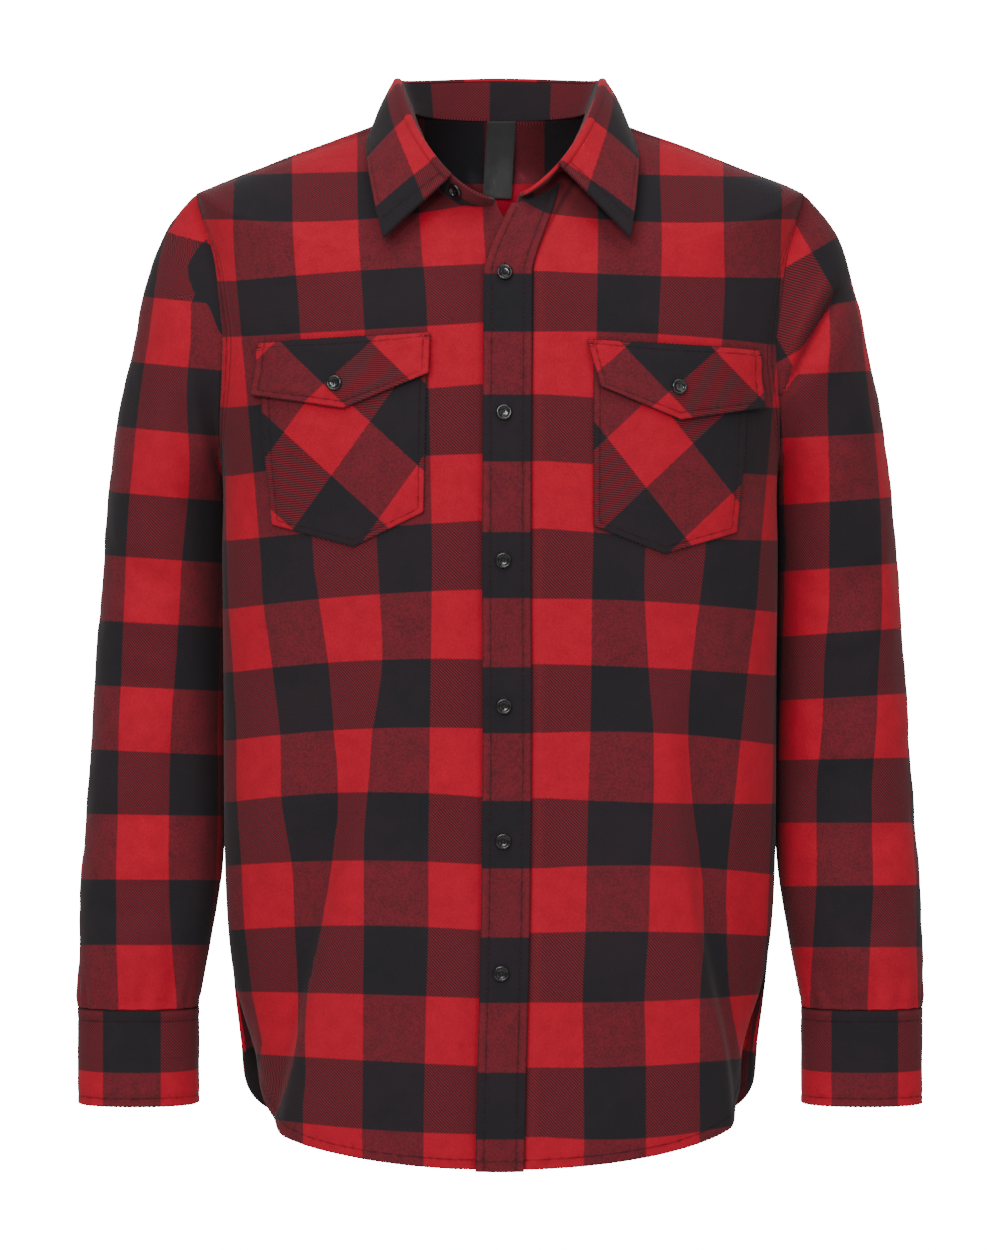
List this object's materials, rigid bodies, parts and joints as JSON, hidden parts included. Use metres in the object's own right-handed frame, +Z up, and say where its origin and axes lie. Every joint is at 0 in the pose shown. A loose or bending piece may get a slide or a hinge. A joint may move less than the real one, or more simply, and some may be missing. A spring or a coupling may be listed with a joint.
{
  "type": "flannel shirt",
  "caption": "Long-sleeved buttoned flannel shirt with turned-down collar, flapped chest pockets and cuffs, hollow inside and filled out as when worn.",
  "frame": {"origin": "middle of the neck base, level with the point where the shoulder line meets the neck", "axes": "+Z up, the front faces -Y, +X towards the wearer's left"},
  "size_m": [0.6376, 0.2386, 0.8256],
  "materials": {
    "flannel": "brushed check, matte",
    "flannel_dark": "brushed check, matte",
    "label": "woven satin, bare",
    "button": "polished"
  },
  "bodies": {
    "root": {"front_right": "flannel", "front_left": "flannel", "back": "flannel", "yoke": "flannel", "sleeve_right": "flannel", "sleeve_left": "flannel", "sleeve_placket_right": "flannel", "sleeve_placket_left": "flannel", "cuff_right": "flannel", "cuff_left": "flannel", "front_placket": "flannel_dark", "collar_stand": "flannel_dark", "collar_leaf": "flannel_dark", "pocket_right": "flannel_dark", "pocket_left": "flannel_dark", "pocket_flap_right": "flannel_dark", "pocket_flap_left": "flannel_dark", "neck_label": "label", "button_front_1": "button", "button_front_2": "button", "button_front_3": "button", "button_front_4": "button", "button_front_5": "button", "button_front_6": "button", "button_stand": "button", "button_pocket_right": "button", "button_pocket_left": "button", "button_cuff_right": "button", "button_cuff_left": "button"}
  },
  "joints": []
}
